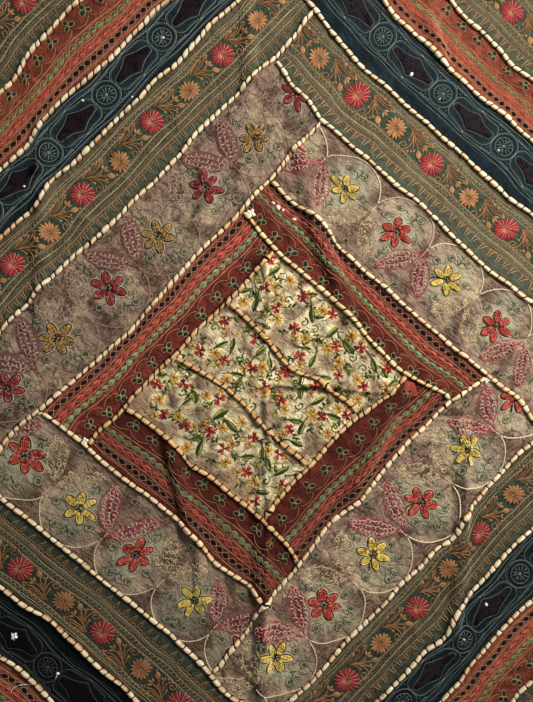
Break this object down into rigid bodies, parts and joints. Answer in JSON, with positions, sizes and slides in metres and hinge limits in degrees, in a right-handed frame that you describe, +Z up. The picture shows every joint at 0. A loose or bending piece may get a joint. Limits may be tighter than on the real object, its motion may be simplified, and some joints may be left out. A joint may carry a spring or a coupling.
{
  "type": "ralli patchwork quilt",
  "caption": "Patchwork quilt of embroidered border strips in square rings on point round a flowered middle, with a stitched puffy cord over every seam, spread out flat with soft folds.",
  "frame": {"origin": "middle of the outline, on the surface that the quilt lies on", "axes": "+Z up out of the face of the cloth, +Y along the length, +X across the width"},
  "size_m": [0.7222, 0.9987, 0.0174],
  "materials": {
    "floral_cloth": "worn cream cotton with small embroidered flowers",
    "red_border": "brick red embroidered sari border",
    "brown_velvet": "mottled taupe cloth with embroidered flowers and leaves",
    "olive_border": "dark olive woven border with gold figure",
    "teal_border": "blue-black cloth with fine grey-green embroidery",
    "russet_border": "russet embroidered sari border",
    "corner_border": "dark olive woven border with gold figure",
    "couched_cord": "cream cotton cord stitched down with black thread"
  },
  "bodies": {
    "root": {"floral_lower": "floral_cloth", "floral_middle": "floral_cloth", "floral_upper": "floral_cloth", "red_nw": "red_border", "red_se": "red_border", "red_sw": "red_border", "red_ne": "red_border", "brown_nw": "brown_velvet", "brown_se": "brown_velvet", "brown_sw": "brown_velvet", "brown_ne": "brown_velvet", "olive_nw": "olive_border", "olive_se": "olive_border", "olive_sw": "olive_border", "olive_ne": "olive_border", "teal_nw": "teal_border", "teal_se": "teal_border", "teal_sw": "teal_border", "teal_ne": "teal_border", "russet_nw": "russet_border", "russet_se": "russet_border", "russet_sw": "russet_border", "russet_ne": "russet_border", "corner_nw": "corner_border", "corner_se": "corner_border", "corner_sw": "corner_border", "corner_ne": "corner_border", "cord_middle_lower": "couched_cord", "cord_middle_upper": "couched_cord", "cord_floral_nw": "couched_cord", "cord_floral_se": "couched_cord", "cord_floral_sw": "couched_cord", "cord_floral_ne": "couched_cord", "cord_red_nw": "couched_cord", "cord_red_se": "couched_cord", "cord_red_sw": "couched_cord", "cord_red_ne": "couched_cord", "cord_brown_nw": "couched_cord", "cord_brown_se": "couched_cord", "cord_brown_sw": "couched_cord", "cord_brown_ne": "couched_cord", "cord_olive_nw": "couched_cord", "cord_olive_se": "couched_cord", "cord_olive_sw": "couched_cord", "cord_olive_ne": "couched_cord", "cord_teal_nw": "couched_cord", "cord_teal_se": "couched_cord", "cord_teal_sw": "couched_cord", "cord_teal_ne": "couched_cord", "cord_russet_nw": "couched_cord", "cord_russet_se": "couched_cord", "cord_russet_sw": "couched_cord", "cord_russet_ne": "couched_cord"}
  },
  "joints": []
}
